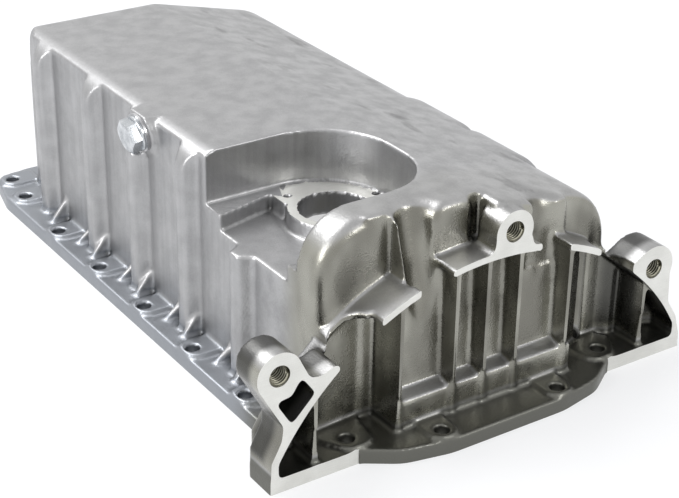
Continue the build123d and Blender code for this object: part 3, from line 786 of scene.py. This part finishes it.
    def soften(self, piece: bpy.types.Object) -> None:
        """Rebuilds the skin evenly and relaxes it, most of all where the lobes blend.

        Args:
            piece: the casting with its allowance.
        """
        voxel = self.voxel
        apply_modifier(piece, "REMESH", mode="VOXEL", voxel_size=voxel, use_smooth_shade=True)
        places = corner_places(piece)
        x, y, z = places.T
        milled = (np.abs(z - self.plate_height) < 0.0006) & (
            np.hypot(x - self.sensor[0], y - self.sensor[1]) < self.plate_reach)
        lobes = (z > self.lobe_low) & (y > self.lobe_front) & (y < self.lobe_back)
        lobes &= np.abs(x) < self.lobe_half
        ear_x, _, ear_z = self.tapped_holes[-1]
        ear = (np.hypot(x - ear_x, z - ear_z) < self.ear_reach) & (y < self.ear_depth)
        for name, chosen, rounds in (
            ("cast_skin", ~milled, self.skin_rounds),
            ("blended_lobes", lobes & ~ear & ~milled, self.lobe_rounds),
        ):
            piece.vertex_groups.new(name=name)
            select_corners(piece, chosen)
            bpy.ops.object.vertex_group_set_active(group=name)
            bpy.ops.object.vertex_group_assign()
            bpy.ops.object.mode_set(mode="OBJECT")
            apply_modifier(piece, "SMOOTH", factor=0.5, iterations=rounds, vertex_group=name)

    def flatten(self, piece: bpy.types.Object, across: Across, level: float) -> None:
        """Presses the vertices next to a machined plane exactly onto it.

        Args:
            piece: the softened casting.
            across: the axis that the plane looks along.
            level: the plane's place on that axis, in metres.
        """
        places = corner_places(piece)
        value = [1.0, 1.0, 1.0]
        value[across.value] = 0.0
        middle = [0.0, 0.0, 0.0]
        middle[across.value] = level
        near = np.abs(places[:, across.value] - level) < 0.00035
        select_corners(piece, near)
        bpy.ops.transform.resize(value=value, center_override=middle)
        bpy.ops.object.mode_set(mode="OBJECT")

    def mark_machined(self, piece: bpy.types.Object) -> None:
        """Gives the milled faces their own material slot and sharp edges.

        Args:
            piece: the milled casting with both materials.
        """
        mesh = piece.data
        count = len(mesh.polygons)
        centres, normals = np.empty(3 * count), np.empty(3 * count)
        mesh.polygons.foreach_get("center", centres)
        mesh.polygons.foreach_get("normal", normals)
        centres, normals = centres.reshape(-1, 3), normals.reshape(-1, 3)
        bell = (np.abs(centres[:, 1]) < 0.00001) & (normals[:, 1] < -0.99)
        gasket = (np.abs(centres[:, 2]) < 0.00001) & (normals[:, 2] < -0.99)
        off_centre = np.hypot(centres[:, 0] - self.sensor[0], centres[:, 1] - self.sensor[1])
        plate = (np.abs(centres[:, 2] - self.plate_height) < 0.0004) & (normals[:, 2] > 0.85)
        plate &= off_centre < self.plate_reach
        select_faces(piece, bell | gasket | plate)
        piece.active_material_index = 1
        bpy.ops.object.material_slot_assign()
        bpy.ops.mesh.region_to_loop()
        bpy.ops.mesh.mark_sharp()
        bpy.ops.object.mode_set(mode="OBJECT")

    def build(self, frame: dict) -> None:
        """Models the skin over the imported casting.
        """
        piece = copy_node(frame["nodes"][self.node], "pan_skin")
        self.widen_holes(piece)
        self.draft_ribs(piece)
        self.leave_allowance(piece)
        self.soften(piece)
        self.flatten(piece, Across.Z, self.plate_height)
        apply_modifier(piece, "TRIANGULATE")
        share = min(1.0, self.most_triangles / len(piece.data.polygons))
        apply_modifier(piece, "DECIMATE", ratio=share)
        self.mill(piece)
        piece.data.materials.append(self.cast.build())
        piece.data.materials.append(self.machined.build())
        activate(piece)
        bpy.ops.object.shade_smooth_by_angle(angle=self.sharp_edge)
        self.mark_machined(piece)
        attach(piece, self.body)
        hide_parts(self.node)
        log.info("pan_skin has %d faces", len(piece.data.polygons))


@dataclass
class TappedHoles:
    """The M10 threads in the three holes of the bell-housing face."""

    body: str = "casting"
    places: tuple[Point, ...] = PanCasting.tapped_holes
    turns: tuple[int, ...] = (11, 11, 10)
    crest: float = 4.25 * MM
    root: float = 5.05 * MM
    pitch: float = 1.5 * MM
    back: float = 0.7 * MM
    countersink: float = 1.5 * MM
    cut: TappedFinish = field(default_factory=TappedFinish)

    def build(self) -> None:
        """Winds a thread into each hole."""
        finish = self.cut.build()
        for number, ((x, _, z), turns) in enumerate(zip(self.places, self.turns), 1):
            thread = Thread(self.crest, self.root, self.pitch, turns, inward=True,
                            back=self.back)
            start = (x, self.countersink, z)
            piece = thread.build(f"bell_thread_{number}", start, Vector((0, 1, 0)))
            piece.data.materials.append(finish)
            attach(piece, self.body)


@dataclass
class DrainPlug:
    """The drain plug with broken edges and a wound thread, and its washer."""

    node: str = "drain_plug"
    washer: str = "sealing_washer"
    body: str = "plug"
    face: Point = (-0.092, 0.1958, 0.1068)
    lean: float = 10.0
    shank: float = 6.7 * MM
    root: float = 5.85 * MM
    pitch: float = 1.5 * MM
    thread_turns: int = 6
    thread_start: float = 11.0 * MM
    edge: float = 0.35 * MM
    zinc: SteelFinish = field(default_factory=SteelFinish)
    plain: SteelFinish = field(default_factory=lambda: SteelFinish(
        coating=Coating.PLAIN, low=(0.40, 0.40, 0.41, 1.0), high=(0.62, 0.62, 0.63, 1.0),
        smooth=0.26, matt=0.42))

    def build(self, frame: dict) -> None:
        """Models the plug and dresses the washer.
        """
        zinc = self.zinc.build()
        lean = math.radians(self.lean)
        axis = Vector((-math.cos(lean), 0.0, -math.sin(lean)))
        head = copy_node(frame["nodes"][self.node], "plug_head")
        places = corner_places(head) - np.array(self.face)
        along = places @ np.array(axis)
        reach = np.linalg.norm(places - np.outer(along, np.array(axis)), axis=1)
        shrink = self.root / self.shank
        select_corners(head, (along < 0.0005) & (reach < self.shank * 1.02))
        turn = Vector((0.0, 0.0, 1.0)).rotation_difference(axis).to_matrix()
        bpy.ops.transform.resize(value=(shrink, shrink, 1.0), orient_matrix=turn,
                                 orient_type="GLOBAL", center_override=self.face)
        bpy.ops.object.mode_set(mode="OBJECT")
        apply_modifier(head, "BEVEL", width=self.edge, segments=3, limit_method="ANGLE",
                       angle_limit=math.radians(28.0))
        head.data.materials.append(zinc)
        activate(head)
        bpy.ops.object.shade_smooth_by_angle(angle=math.radians(32.0))
        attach(head, self.body)
        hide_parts(self.node)
        thread = Thread(self.shank, self.root - 0.1 * MM, self.pitch, self.thread_turns,
                        inward=False)
        start = Vector(self.face) - axis * self.thread_start
        piece = thread.build("plug_thread", tuple(start), axis)
        piece.data.materials.append(zinc)
        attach(piece, self.body)
        ring = frame["nodes"][self.washer]
        ring.data.materials.clear()
        ring.data.materials.append(self.plain.build())


@dataclass(frozen=True)
class SoftBox:
    """One square area lamp that faces a point of the pan."""

    name: str
    place: Point
    aim: Point
    size: float
    power: float

    def hang(self) -> None:
        """Puts the lamp into the scene."""
        data = bpy.data.lights.new(self.name, "AREA")
        data.size = self.size
        data.energy = self.power
        lamp = bpy.data.objects.new(self.name, data)
        bpy.context.scene.collection.objects.link(lamp)
        lamp.location = self.place
        towards = Vector(self.aim) - Vector(self.place)
        lamp.rotation_euler = towards.to_track_quat("-Z", "Y").to_euler()


@dataclass
class Studio:
    """Floor, lamps, world and the camera of the photograph."""

    lamps: tuple[SoftBox, ...] = (
        SoftBox("top_box", (-0.5, 0.9, 1.3), (0.0, 0.19, 0.05), 0.9, 16.0),
        SoftBox("left_box", (-1.4, 0.1, 0.7), (0.0, 0.19, 0.05), 0.6, 9.0),
        SoftBox("front_box", (0.5, -1.3, 0.9), (0.0, 0.1, 0.05), 0.5, 7.0),
    )
    floor_glow: float = 0.62
    position: Point = (-0.4736, -0.5597, 0.4687)
    azimuth: float = -34.13
    elevation: float = 27.06
    roll: float = 0.94
    focal_px: float = 1688.9
    frame_px: tuple[float, float] = (679.0, 498.0)
    centre_px: tuple[float, float] = (338.35, 245.17)
    sensor_mm: float = 36.0

    def seen_directly(self, wires: Wiring) -> Socket:
        """Tells the rays that show a background from those that carry light.

        Args:
            wires: the wiring of the tree that asks.

        Returns:
            1 for camera, glossy and transmission rays, and 0 for the others.
        """
        rays = wires.add("ShaderNodeLightPath").outputs
        mirrored = wires.math("MAXIMUM", rays["Is Glossy Ray"], rays["Is Transmission Ray"])
        return wires.math("MAXIMUM", rays["Is Camera Ray"], mirrored)

    def floor(self) -> None:
        """Lays the pale floor on which the pan stands and throws its shadow."""
        deselect_all()
        bpy.ops.mesh.primitive_plane_add(size=6.0, location=(0.0, 0.19, 0.0))
        floor = bpy.context.active_object
        floor.name = "floor"
        settle(floor)
        material = bpy.data.materials.new("pale_floor")
        material.use_nodes = True
        material.node_tree.nodes.clear()
        wires = Wiring(material.node_tree)
        matt = wires.add("ShaderNodeBsdfDiffuse", Color=(0.9, 0.9, 0.9, 1.0))
        glow = wires.add("ShaderNodeEmission", Color=(1.0, 1.0, 1.0, 1.0), Strength=1.0)
        share = wires.math("MULTIPLY", self.seen_directly(wires), self.floor_glow)
        mix = wires.add("ShaderNodeMixShader", Fac=share)
        wires.feed(mix.inputs[1], matt.outputs["BSDF"])
        wires.feed(mix.inputs[2], glow.outputs["Emission"])
        output = wires.add("ShaderNodeOutputMaterial")
        wires.feed(output.inputs["Surface"], mix.outputs["Shader"])
        floor.data.materials.append(material)

    def world(self) -> None:
        """Surrounds the scene with soft light, and with white where it is seen."""
        world = bpy.data.worlds.new("studio")
        bpy.context.scene.world = world
        world.use_nodes = True
        world.node_tree.nodes.clear()
        wires = Wiring(world.node_tree)
        light = wires.add("ShaderNodeBackground", Color=(0.90, 0.93, 1.0, 1.0), Strength=0.75)
        white = wires.add("ShaderNodeBackground", Color=(1.0, 1.0, 1.0, 1.0), Strength=1.0)
        mix = wires.add("ShaderNodeMixShader", Fac=self.seen_directly(wires))
        wires.feed(mix.inputs[1], light.outputs["Background"])
        wires.feed(mix.inputs[2], white.outputs["Background"])
        output = wires.add("ShaderNodeOutputWorld")
        wires.feed(output.inputs["Surface"], mix.outputs["Shader"])

    def camera(self) -> None:
        """Sets the camera where the photograph was taken from."""
        width, height = self.frame_px
        data = bpy.data.cameras.new("photo_camera")
        data.sensor_fit = "HORIZONTAL"
        data.sensor_width = self.sensor_mm
        data.lens = self.focal_px * self.sensor_mm / width
        data.shift_x = (width / 2 - self.centre_px[0]) / width
        data.shift_y = -(height / 2 - self.centre_px[1]) / width
        data.clip_end = 20.0
        camera = bpy.data.objects.new("photo_camera", data)
        bpy.context.scene.collection.objects.link(camera)
        a, e = math.radians(self.azimuth), math.radians(self.elevation)
        back = Vector((math.sin(a) * math.cos(e), -math.cos(a) * math.cos(e), math.sin(e)))
        right = Vector((math.cos(a), math.sin(a), 0.0))
        up = back.cross(right)
        c, s = math.cos(math.radians(self.roll)), math.sin(math.radians(self.roll))
        right, up = c * right + s * up, c * up - s * right
        turn = Matrix((right, up, back)).transposed().to_4x4()
        camera.matrix_world = Matrix.Translation(self.position) @ turn
        bpy.context.scene.camera = camera

    def build(self) -> None:
        """Sets up the whole studio."""
        self.floor()
        self.world()
        for lamp in self.lamps:
            lamp.hang()
        self.camera()
        bpy.context.scene.view_settings.view_transform = "Standard"


def main() -> None:
    """Builds every piece of the scene in order."""
    logging.basicConfig(level=logging.INFO, format="%(name)s: %(message)s")
    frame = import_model()
    PanCasting().build(frame)
    log.info("built the casting")
    TappedHoles().build()
    log.info("wound the threads of the holes")
    DrainPlug().build(frame)
    log.info("built the drain plug and its washer")
    Studio().build()
    log.info("set up the studio")
    bpy.context.view_layer.update()


if __name__ == "__main__":
    main()
